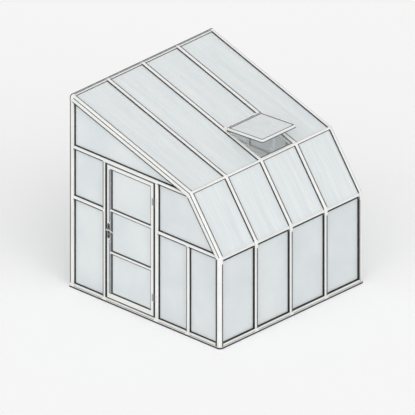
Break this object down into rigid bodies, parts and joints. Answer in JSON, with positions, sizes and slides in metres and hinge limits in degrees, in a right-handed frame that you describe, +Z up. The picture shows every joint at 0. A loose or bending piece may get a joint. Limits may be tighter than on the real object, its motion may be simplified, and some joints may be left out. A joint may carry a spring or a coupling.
{
  "type": "lean-to sunroom",
  "caption": "Lean-to sunroom with a curved-profile white resin frame, pale wall panes, a two-pitch translucent roof, a hinged side door with lever and lock, and an opening roof vent.",
  "frame": {"origin": "on the floor, at the centre of the footprint", "axes": "X along the house wall, +Y towards the house wall, +Z up"},
  "size_m": [2.6343, 2.58, 2.66],
  "materials": {
    "white_resin": "satin white extruded resin",
    "grey_resin": "matt grey moulded resin",
    "pale_acrylic": "pale clouded sheet",
    "twin_wall_sheet": "translucent twin-wall sheet",
    "black_seal": "matt black seal",
    "grey_metal": "satin grey coating",
    "bright_steel": "zinc plated",
    "mill_aluminium": "mill finish",
    "lock_brass": "satin"
  },
  "bodies": {
    "frame": {"base_rail_front": "white_resin", "base_rail_left": "white_resin", "base_rail_right": "white_resin", "base_corners": "white_resin", "wall_posts": "white_resin", "corner_posts": "white_resin", "front_mullions": "white_resin", "steep_rafters_inner": "white_resin", "roof_rafters_inner": "white_resin", "steep_rafters_gable": "white_resin", "roof_rafters_gable": "white_resin", "rafter_caps": "white_resin", "frame_joiners": "grey_resin", "eave_rails": "white_resin", "knee_purlins": "white_resin", "wall_rails": "white_resin", "purlin_caps": "white_resin", "gable_head_rails": "white_resin", "gable_mid_rails": "white_resin", "door_post_latch": "white_resin", "door_post_hinge": "white_resin", "gable_mullion_left": "white_resin", "gable_uprights_right": "white_resin", "front_panes": "pale_acrylic", "gable_panes": "pale_acrylic", "steep_panes": "twin_wall_sheet", "roof_panes": "twin_wall_sheet", "door_hinges_fixed": "grey_metal", "hinge_pins": "bright_steel", "door_threshold": "mill_aluminium", "door_stops": "white_resin", "door_stop_seals": "black_seal", "strike_plate": "bright_steel", "vent_header": "white_resin", "vent_kerb": "white_resin", "vent_hinge_bases": "grey_metal", "stay_guide": "grey_metal", "wall_seals": "black_seal", "roof_seals": "black_seal"},
    "door": {"door_stile_latch": "white_resin", "door_stile_hinge": "white_resin", "door_rails": "white_resin", "door_panes": "pale_acrylic", "door_pane_seals": "black_seal", "door_hinges_moving": "grey_metal", "handle_plates": "grey_metal", "lock_case": "bright_steel", "lock_cylinder": "lock_brass"},
    "lever": {"lever_outside": "grey_metal", "lever_inside": "grey_metal", "lever_spindle": "bright_steel"},
    "latch": {"latch_bolt": "bright_steel"},
    "dead_bolt": {"dead_bolt": "bright_steel"},
    "lock_plug": {"lock_plug": "lock_brass"},
    "vent": {"vent_sash": "white_resin", "vent_pane": "twin_wall_sheet", "vent_seal": "black_seal", "vent_hinge_leaves": "grey_metal", "stay_bracket": "grey_metal"},
    "stay": {"vent_stay": "grey_metal"}
  },
  "joints": [
    {"name": "door_hinge", "type": "hinge", "parent": "frame", "child": "door", "pos_m": [-1.2935, -0.15325, 1], "axis": [0, 0, 1], "range_deg": [0, 110]},
    {"name": "lever_turn", "type": "hinge", "parent": "door", "child": "lever", "pos_m": [-1.267, 0.6275, 1.025], "axis": [1, 0, 0], "range_deg": [0, 40], "stiffness_Nm_per_rad": 1.2, "springref_deg": -11.46},
    {"name": "latch_slide", "type": "slide", "parent": "door", "child": "latch", "axis": [0, 1, 0], "range_m": [-0.0145, 0]},
    {"name": "key_turn", "type": "hinge", "parent": "door", "child": "lock_plug", "pos_m": [-1.267, 0.6275, 0.953], "axis": [1, 0, 0], "range_deg": [0, 90]},
    {"name": "dead_bolt_slide", "type": "slide", "parent": "door", "child": "dead_bolt", "axis": [0, 1, 0], "range_m": [0, 0.022]},
    {"name": "vent_hinge", "type": "hinge", "parent": "frame", "child": "vent", "pos_m": [0.31488, -0.15601, 2.20213], "axis": [-1, 0, 0], "range_deg": [-21.5, 8.5]},
    {"name": "stay_hinge", "type": "hinge", "parent": "vent", "child": "stay", "pos_m": [0.31488, -0.67244, 2.22881], "axis": [-1, 0, 0], "range_deg": [-8.5, 21.5]}
  ],
  "couplings": [
    {"joint": "latch_slide", "follows": "lever_turn", "m_per_rad": -0.020769},
    {"joint": "dead_bolt_slide", "follows": "key_turn", "m_per_rad": 0.014005},
    {"joint": "stay_hinge", "follows": "vent_hinge", "ratio": -1}
  ]
}
